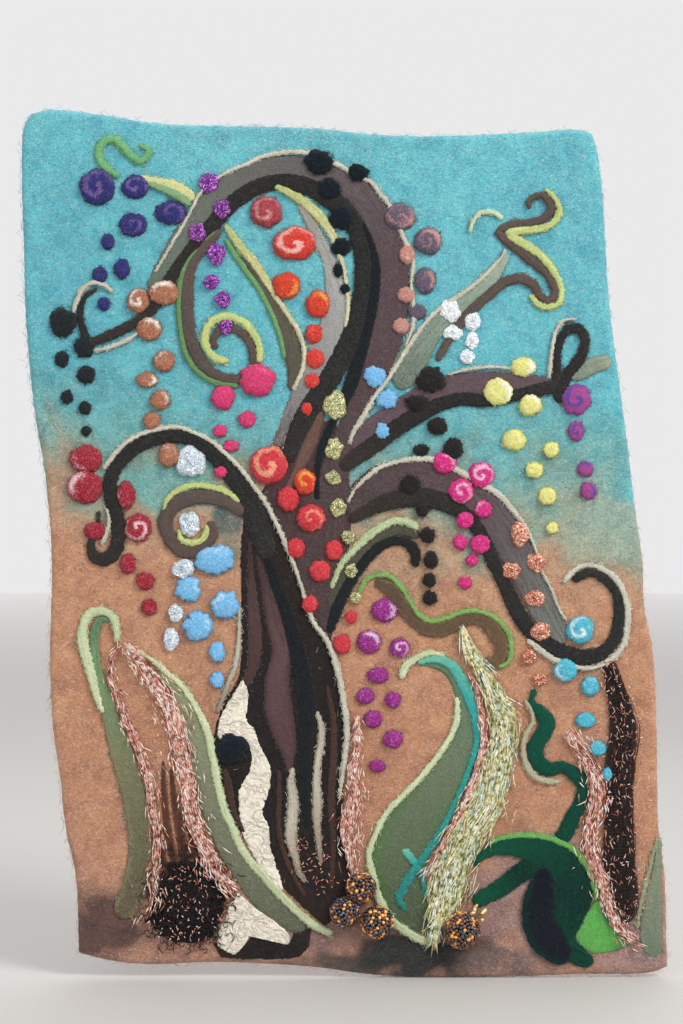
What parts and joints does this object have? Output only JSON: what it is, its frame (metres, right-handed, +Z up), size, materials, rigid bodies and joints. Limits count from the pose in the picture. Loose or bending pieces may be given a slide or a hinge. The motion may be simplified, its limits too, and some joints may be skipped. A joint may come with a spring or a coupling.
{
  "type": "felted wool wall picture",
  "caption": "Thick felt sheet with a rounded rim whose front carries a swirling tree in laid wool, felt dots, metallic fibres and beaded balls; its flat back lies against a wall.",
  "frame": {"origin": "a point in the middle of the flat back of the felt sheet", "axes": "+X to the right of someone facing the picture, +Y out through the back into the wall, +Z up; the picture faces -Y"},
  "size_m": [0.3241, 0.0198, 0.4345],
  "materials": {
    "felt_sheet": "thick needled felt, mottled",
    "wool_dark_brown": "fuzzy felted wool",
    "wool_green": "fuzzy felted wool",
    "wool_black": "fuzzy felted wool",
    "wool_bright_green": "fuzzy felted wool",
    "wool_cream": "fuzzy felted wool",
    "wool_mauve": "fuzzy felted wool",
    "wool_grey": "fuzzy felted wool",
    "wool_grey_green": "fuzzy felted wool",
    "wool_rust": "fuzzy felted wool",
    "wool_yellow": "fuzzy felted wool",
    "wool_blue_black": "fuzzy felted wool",
    "wool_lime": "fuzzy felted wool",
    "wool_dark_green": "fuzzy felted wool",
    "wool_teal": "fuzzy felted wool",
    "wool_pale_green": "fuzzy felted wool",
    "fibre_copper": "shiny metallic fibres",
    "fibre_gold": "shiny iridescent fibres",
    "wool_navy": "fuzzy felted wool",
    "wool_red": "fuzzy felted wool",
    "wool_pink": "fuzzy felted wool",
    "wool_crimson": "fuzzy felted wool",
    "wool_light_blue": "fuzzy felted wool",
    "glass_beads": "dark and amber glass seed beads",
    "wool_orange": "fuzzy felted wool with white wisps",
    "wool_magenta": "fuzzy felted wool",
    "wool_violet": "fuzzy felted wool",
    "wool_turquoise": "fuzzy felted wool with white wisps",
    "glitter_purple": "glitter flakes on a felt dot",
    "glitter_silver": "glitter flakes on a felt dot",
    "glitter_gold": "glitter flakes on a felt dot",
    "glitter_copper": "glitter flakes on a felt dot",
    "mesh_black": "open mesh with copper fibres"
  },
  "bodies": {
    "root": {"felt_sheet": "felt_sheet", "trunk": "wool_dark_brown", "root_ground": "wool_dark_brown", "right_leaf": "wool_green", "black_fluff": "wool_black", "bright_green_root": "wool_bright_green", "birch_patch": "wool_cream", "cream_root": "wool_cream", "arch_mauve_band": "wool_mauve", "grey_band": "wool_grey", "sweep_mauve_band": "wool_mauve", "mid_branch_mauve": "wool_mauve", "diagonal_band": "wool_grey_green", "left_leaf_green": "wool_green", "left_leaf_olive": "wool_grey_green", "arch_rust_strand": "wool_rust", "inner_branch_brown": "wool_rust", "ribbon_yellow": "wool_yellow", "hook_black": "wool_blue_black", "trunk_mauve_strand": "wool_mauve", "trunk_blue_black_strand": "wool_blue_black", "trunk_cream_strand_left": "wool_cream", "trunk_cream_strand_right": "wool_cream", "arch_dark_band": "wool_dark_brown", "arch_blue_black_strand": "wool_blue_black", "loop_brown": "wool_rust", "left_arch_dark": "wool_dark_brown", "swirl_brown": "wool_rust", "sweep_dark_strand": "wool_dark_brown", "mid_branch_dark": "wool_dark_brown", "diagonal_curl": "wool_rust", "small_branch_dark": "wool_dark_brown", "vine_brown": "wool_rust", "tendril_lime": "wool_lime", "snake_green": "wool_dark_green", "hook_green": "wool_dark_green", "right_leaf_teal_vein": "wool_teal", "arch_cream_edge": "wool_cream", "left_arch_cream_edge": "wool_cream", "sweep_cream_edge": "wool_cream", "diagonal_cream_edge": "wool_cream", "left_leaf_tip": "wool_pale_green", "left_leaf_pale_edge": "wool_pale_green", "right_leaf_pale_edge": "wool_pale_green", "copper_bundle_left": "fibre_copper", "copper_bundle_inner": "fibre_copper", "copper_bundle_trunk": "fibre_copper", "copper_bundle_right": "fibre_copper", "black_mesh_strip": "wool_black", "gold_bundle": "fibre_gold", "navy_dot": "wool_navy", "red_swirl_dot": "wool_red", "pink_dot": "wool_pink", "trunk_red_dot": "wool_red", "crimson_dot": "wool_crimson", "light_blue_dot": "wool_light_blue", "beaded_ball_1": "glass_beads", "beaded_ball_2": "glass_beads", "beaded_ball_3": "glass_beads", "beaded_ball_4": "glass_beads"}
  },
  "joints": []
}
